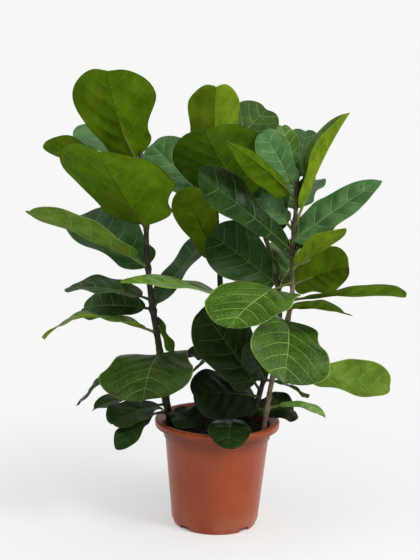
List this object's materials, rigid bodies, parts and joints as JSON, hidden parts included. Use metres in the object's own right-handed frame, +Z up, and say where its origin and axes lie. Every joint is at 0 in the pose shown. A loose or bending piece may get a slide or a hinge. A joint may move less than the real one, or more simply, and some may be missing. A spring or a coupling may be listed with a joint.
{
  "type": "potted fiddle leaf fig",
  "caption": "Fiddle leaf fig with slender woody stems and large wavy leaves, growing in a terracotta-coloured plastic nursery pot filled with potting soil.",
  "frame": {"origin": "centre of the pot's base, on the surface that the pot stands on", "axes": "+Z up along the pot's axis, +X to the right and -Y to the front as the plant is seen in the picture"},
  "size_m": [0.6982, 0.4221, 0.8574],
  "materials": {
    "pot_plastic": "satin moulded plastic, terracotta colour",
    "potting_soil": "rough, dark peat mix",
    "bark": "matte thin bark, grey-brown",
    "leaf_dark": "glossy upper side, matte olive underside",
    "leaf_blue": "glossy bluish upper side, matte olive underside",
    "leaf_mid": "glossy upper side, matte olive underside",
    "leaf_young": "fresh satin green, paler underside"
  },
  "bodies": {
    "root": {"pot": "pot_plastic", "soil": "potting_soil", "stem_left": "bark", "leaf_left_01": "leaf_mid", "leaf_left_02": "leaf_mid", "leaf_left_03": "leaf_mid", "leaf_left_04": "leaf_blue", "leaf_left_05": "leaf_blue", "leaf_left_06": "leaf_blue", "leaf_left_07": "leaf_dark", "leaf_left_08": "leaf_young", "leaf_left_09": "leaf_dark", "leaf_left_10": "leaf_blue", "leaf_left_11": "leaf_mid", "leaf_left_12": "leaf_dark", "leaf_left_13": "leaf_dark", "leaf_left_14": "leaf_dark", "leaf_left_15": "leaf_dark", "leaf_left_16": "leaf_dark", "leaf_left_17": "leaf_blue", "leaf_left_18": "leaf_mid", "leaf_left_19": "leaf_dark", "stem_middle": "bark", "leaf_middle_01": "leaf_young", "leaf_middle_02": "leaf_mid", "leaf_middle_03": "leaf_blue", "leaf_middle_04": "leaf_mid", "leaf_middle_05": "leaf_young", "leaf_middle_06": "leaf_dark", "leaf_middle_07": "leaf_dark", "leaf_middle_08": "leaf_mid", "stem_right": "bark", "leaf_right_01": "leaf_young", "leaf_right_02": "leaf_mid", "leaf_right_03": "leaf_blue", "leaf_right_04": "leaf_mid", "leaf_right_05": "leaf_blue", "leaf_right_06": "leaf_blue", "leaf_right_07": "leaf_dark", "leaf_right_08": "leaf_young", "leaf_right_09": "leaf_mid", "leaf_right_10": "leaf_mid", "leaf_right_11": "leaf_mid", "leaf_right_12": "leaf_mid", "leaf_right_13": "leaf_blue", "leaf_right_14": "leaf_mid", "leaf_right_15": "leaf_dark", "leaf_right_16": "leaf_blue", "leaf_right_17": "leaf_mid", "leaf_right_18": "leaf_blue", "stem_inner": "bark", "leaf_inner_01": "leaf_dark", "leaf_inner_02": "leaf_dark", "leaf_inner_03": "leaf_dark", "leaf_inner_04": "leaf_dark", "leaf_inner_05": "leaf_dark", "leaf_inner_06": "leaf_dark", "leaf_inner_07": "leaf_dark", "leaf_inner_08": "leaf_mid", "leaf_inner_09": "leaf_dark"}
  },
  "joints": []
}
